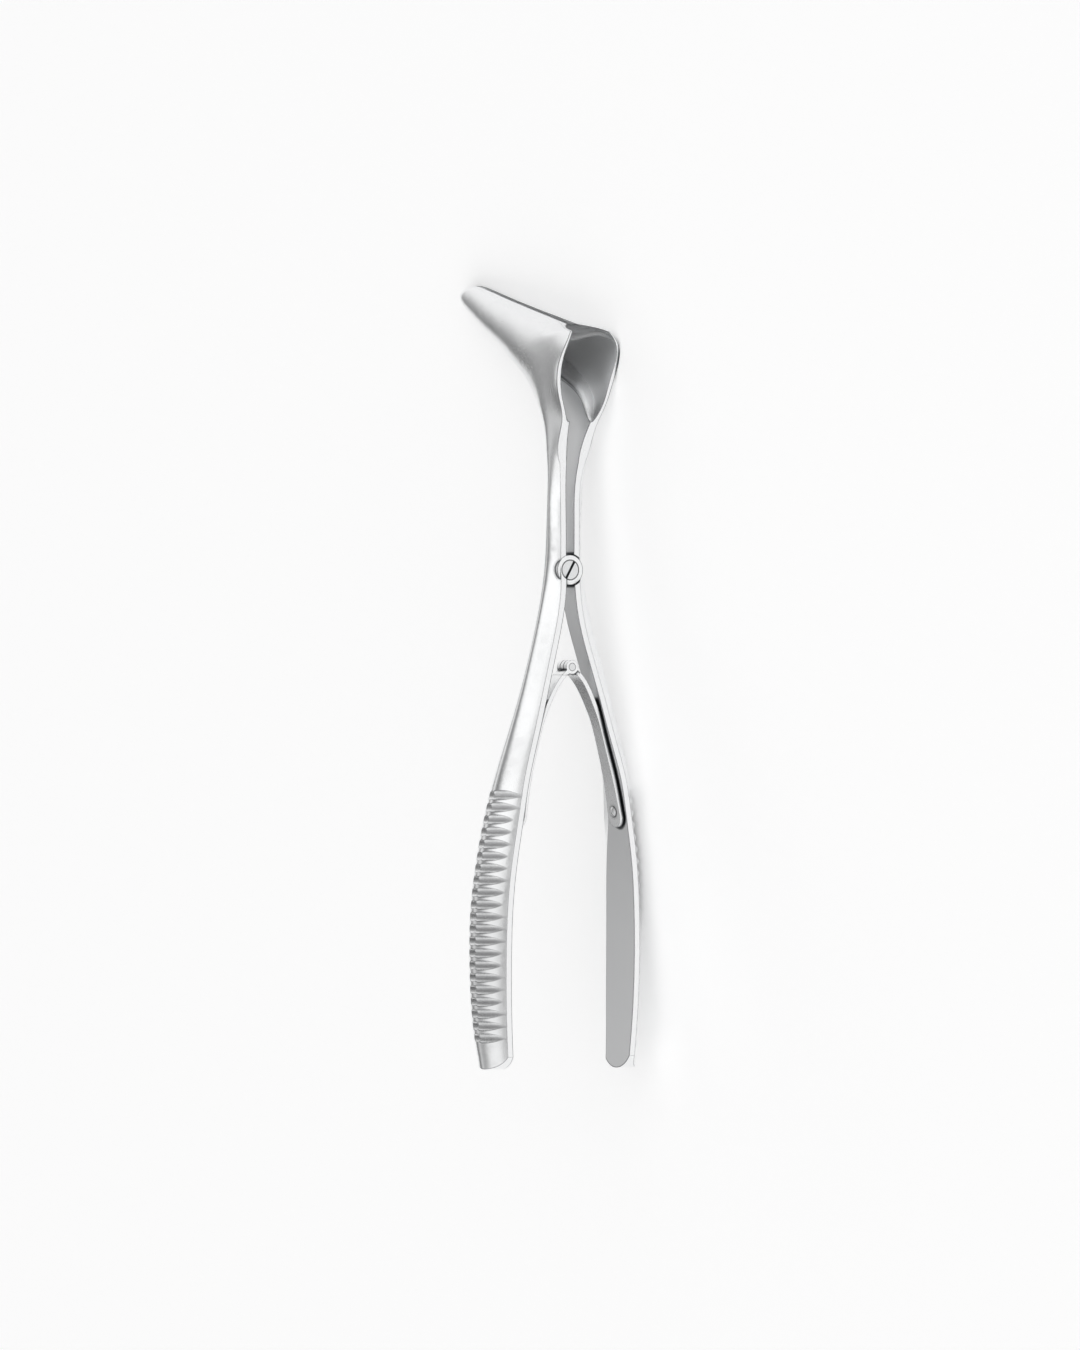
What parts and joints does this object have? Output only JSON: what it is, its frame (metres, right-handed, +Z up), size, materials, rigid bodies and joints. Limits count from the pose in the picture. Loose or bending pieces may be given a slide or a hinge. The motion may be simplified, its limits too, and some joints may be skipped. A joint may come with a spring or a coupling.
{
  "type": "nasal speculum",
  "caption": "Hand-held nasal speculum: two pivoted steel halves with grooved handles, half-funnel blades and a pair of leaf springs.",
  "frame": {"origin": "on the table, under the middle of the tool as it lies on one side", "axes": "+Y along the handles towards the blades, +Z up from the table, +X towards the user's side, away from the blade tips"},
  "size_m": [0.0488, 0.158, 0.0409],
  "materials": {
    "forged_steel": "satin polished",
    "spring_steel": "fine ground",
    "turned_steel": "turned and polished"
  },
  "bodies": {
    "right_arm": {"right_half": "forged_steel", "right_spring_leaf": "spring_steel", "right_spring_rivet": "turned_steel", "pivot_screw": "turned_steel"},
    "left_arm": {"left_half": "forged_steel", "left_spring_leaf": "spring_steel", "left_spring_rivet": "turned_steel"},
    "spring_joint": {"spring_pin": "turned_steel"}
  },
  "joints": [
    {"name": "pivot", "type": "hinge", "parent": "right_arm", "child": "left_arm", "pos_m": [0.01331, 0.02212, 0.01138], "axis": [0.9975, 0.0087, 0.0706], "range_deg": [-0.7, 12], "stiffness_Nm_per_rad": 2, "deforming": ["right_spring_leaf", "left_spring_leaf"]},
    {"name": "spring_swing", "type": "hinge", "parent": "right_arm", "child": "spring_joint", "pos_m": [0.01331, 0.02212, 0.01138], "axis": [0.9975, 0.0087, 0.0706], "range_deg": [-0.35, 6]}
  ],
  "couplings": [
    {"joint": "spring_swing", "follows": "pivot", "ratio": 0.5}
  ]
}
